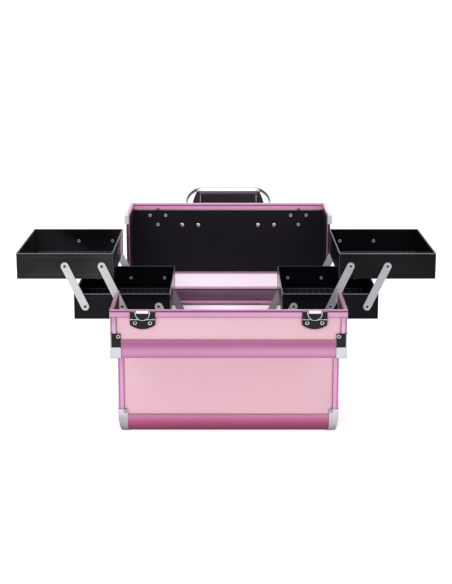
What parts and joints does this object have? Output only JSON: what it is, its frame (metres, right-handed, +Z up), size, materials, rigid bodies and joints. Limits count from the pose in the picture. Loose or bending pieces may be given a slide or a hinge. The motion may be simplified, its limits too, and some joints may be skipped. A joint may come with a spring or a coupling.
{
  "type": "makeup train case",
  "caption": "Rectangular train case with two half lids that open away from each other, cantilever trays on link arms each side, draw latches and a folding handle.",
  "frame": {"origin": "centre of the case body's footprint, at the level of its feet", "axes": "+X to the right seen from the latch side, +Y towards the rear, +Z up; rest pose is both lids open and the trays swung out"},
  "size_m": [0.6714, 0.5184, 0.3454],
  "materials": {
    "pale_pink_panel": "smooth pale pink laminate sheet, soft gloss",
    "pink_rail": "pink anodised aluminium extrusion, satin",
    "body_lining": "pale pink lining sheet",
    "black_lining": "black foam sheet, faint grain",
    "corner_chrome": "pressed steel corner, bright plated",
    "screw_steel": "small plated screw and rivet heads",
    "hinge_metal": "pink anodised hinge strip",
    "latch_black": "gloss black lacquer on steel",
    "latch_chrome": "bright plated",
    "handle_chrome": "bright plated",
    "grip_black": "soft black grip, fine grain",
    "tray_black": "high gloss black moulding",
    "arm_aluminium": "satin aluminium bar",
    "pin_steel": "rivet heads, dark centre dimple"
  },
  "bodies": {
    "case_body": {"floor_panel": "body_lining", "front_panel": "pale_pink_panel", "rear_panel": "pale_pink_panel", "side_panels": "pale_pink_panel", "corner_posts": "pink_rail", "bottom_rails": "pink_rail", "rim_rails": "pink_rail", "body_liner": "body_lining", "bottom_corner_caps": "corner_chrome", "bottom_cap_screws": "screw_steel", "front_hinge_body_leaf": "hinge_metal", "rear_hinge_body_leaf": "hinge_metal", "hinge_pins": "screw_steel", "arm_base_pins": "pin_steel"},
    "front_lid": {"front_lid_panel": "pale_pink_panel", "front_lid_hinge_wall": "pale_pink_panel", "front_lid_side_walls": "pale_pink_panel", "front_lid_rim_rails": "pink_rail", "front_lid_corner_rails": "pink_rail", "front_lid_free_edge_rails": "pink_rail", "front_lid_bullnose_rail": "pink_rail", "front_lid_corner_caps": "corner_chrome", "front_hinge_lid_leaf": "hinge_metal", "latch_base_plates": "latch_black", "front_lid_fasteners": "screw_steel"},
    "rear_lid": {"rear_lid_panel": "pale_pink_panel", "rear_lid_liner": "black_lining", "rear_lid_hinge_wall": "pale_pink_panel", "rear_lid_side_walls": "pale_pink_panel", "rear_lid_rim_rails": "pink_rail", "rear_lid_corner_rails": "pink_rail", "rear_lid_free_edge_rails": "pink_rail", "rear_lid_bullnose_rail": "pink_rail", "rear_lid_corner_caps": "corner_chrome", "rear_lid_corner_clips": "corner_chrome", "rear_hinge_lid_leaf": "hinge_metal", "latch_catches": "latch_black", "rear_lid_rivets": "screw_steel", "rear_lid_cap_screws": "screw_steel", "handle_feet": "handle_chrome"},
    "handle": {"handle_bow": "handle_chrome", "handle_grip": "grip_black"},
    "latch_lever_left": {"latch_lever_left": "latch_black"},
    "latch_hook_left": {"latch_hook_left": "latch_chrome"},
    "long_arms_left": {"arms_long_left": "arm_aluminium"},
    "lower_short_arms_left": {"arms_lower_short_left": "arm_aluminium"},
    "upper_short_arms_left": {"arms_upper_short_left": "arm_aluminium"},
    "lower_tray_left": {"tray_lower_left": "tray_black", "tray_pins_lower_left": "pin_steel"},
    "upper_tray_left": {"tray_upper_left": "tray_black", "tray_pins_upper_left": "pin_steel"},
    "latch_lever_right": {"latch_lever_right": "latch_black"},
    "latch_hook_right": {"latch_hook_right": "latch_chrome"},
    "long_arms_right": {"arms_long_right": "arm_aluminium"},
    "lower_short_arms_right": {"arms_lower_short_right": "arm_aluminium"},
    "upper_short_arms_right": {"arms_upper_short_right": "arm_aluminium"},
    "lower_tray_right": {"tray_lower_right": "tray_black", "tray_pins_lower_right": "pin_steel"},
    "upper_tray_right": {"tray_upper_right": "tray_black", "tray_pins_upper_right": "pin_steel"}
  },
  "joints": [
    {"name": "front_lid_hinge", "type": "hinge", "parent": "case_body", "child": "front_lid", "pos_m": [0, -0.1201, 0.1575], "axis": [-1, 0, 0], "range_deg": [0, 5]},
    {"name": "rear_lid_hinge", "type": "hinge", "parent": "case_body", "child": "rear_lid", "pos_m": [0, 0.1201, 0.1575], "axis": [1, 0, 0], "range_deg": [0, 5]},
    {"name": "handle_fold", "type": "hinge", "parent": "rear_lid", "child": "handle", "pos_m": [0, 0.2566, 0.2776], "axis": [-1, 0, 0], "range_deg": [0, 180]},
    {"name": "latch_lever_left_lift", "type": "hinge", "parent": "front_lid", "child": "latch_lever_left", "pos_m": [-0.13, -0.2515, 0.22075], "axis": [1, 0, 0], "range_deg": [0, 90]},
    {"name": "latch_hook_left_swing", "type": "hinge", "parent": "latch_lever_left", "child": "latch_hook_left", "pos_m": [-0.13, -0.2525, 0.23275], "axis": [1, 0, 0], "range_deg": [0, 60]},
    {"name": "latch_lever_right_lift", "type": "hinge", "parent": "front_lid", "child": "latch_lever_right", "pos_m": [0.13, -0.2515, 0.22075], "axis": [1, 0, 0], "range_deg": [0, 90]},
    {"name": "latch_hook_right_swing", "type": "hinge", "parent": "latch_lever_right", "child": "latch_hook_right", "pos_m": [0.13, -0.2525, 0.23275], "axis": [1, 0, 0], "range_deg": [0, 60]},
    {"name": "tray_fold_left", "type": "hinge", "parent": "case_body", "child": "long_arms_left", "pos_m": [-0.1403, 0, 0.1415], "axis": [0, 1, 0], "range_deg": [0, 78]},
    {"name": "lower_tray_pivot_left", "type": "hinge", "parent": "long_arms_left", "child": "lower_tray_left", "pos_m": [-0.17167, 0, 0.20786], "axis": [0, 1, 0], "range_deg": [-78.5, 0]},
    {"name": "upper_tray_pivot_left", "type": "hinge", "parent": "long_arms_left", "child": "upper_tray_left", "pos_m": [-0.20304, 0, 0.27422], "axis": [0, 1, 0], "range_deg": [-78.5, 0]},
    {"name": "lower_short_pivot_left", "type": "hinge", "parent": "case_body", "child": "lower_short_arms_left", "pos_m": [-0.0811, 0, 0.1415], "axis": [0, 1, 0], "range_deg": [0, 78.5]},
    {"name": "upper_short_pivot_left", "type": "hinge", "parent": "lower_tray_left", "child": "upper_short_arms_left", "pos_m": [-0.23087, 0, 0.20786], "axis": [0, 1, 0], "range_deg": [0, 78.5]},
    {"name": "tray_fold_right", "type": "hinge", "parent": "case_body", "child": "long_arms_right", "pos_m": [0.1329, 0, 0.1415], "axis": [0, -1, 0], "range_deg": [0, 78]},
    {"name": "lower_tray_pivot_right", "type": "hinge", "parent": "long_arms_right", "child": "lower_tray_right", "pos_m": [0.16427, 0, 0.20786], "axis": [0, -1, 0], "range_deg": [-78.5, 0]},
    {"name": "upper_tray_pivot_right", "type": "hinge", "parent": "long_arms_right", "child": "upper_tray_right", "pos_m": [0.19564, 0, 0.27422], "axis": [0, -1, 0], "range_deg": [-78.5, 0]},
    {"name": "lower_short_pivot_right", "type": "hinge", "parent": "case_body", "child": "lower_short_arms_right", "pos_m": [0.0737, 0, 0.1415], "axis": [0, -1, 0], "range_deg": [0, 78.5]},
    {"name": "upper_short_pivot_right", "type": "hinge", "parent": "lower_tray_right", "child": "upper_short_arms_right", "pos_m": [0.22347, 0, 0.20786], "axis": [0, -1, 0], "range_deg": [0, 78.5]}
  ],
  "couplings": [
    {"joint": "lower_tray_pivot_left", "follows": "tray_fold_left", "ratio": -1},
    {"joint": "upper_tray_pivot_left", "follows": "tray_fold_left", "ratio": -1},
    {"joint": "lower_short_pivot_left", "follows": "tray_fold_left", "ratio": 1},
    {"joint": "upper_short_pivot_left", "follows": "tray_fold_left", "ratio": 1},
    {"joint": "lower_tray_pivot_right", "follows": "tray_fold_right", "ratio": -1},
    {"joint": "upper_tray_pivot_right", "follows": "tray_fold_right", "ratio": -1},
    {"joint": "lower_short_pivot_right", "follows": "tray_fold_right", "ratio": 1},
    {"joint": "upper_short_pivot_right", "follows": "tray_fold_right", "ratio": 1}
  ]
}
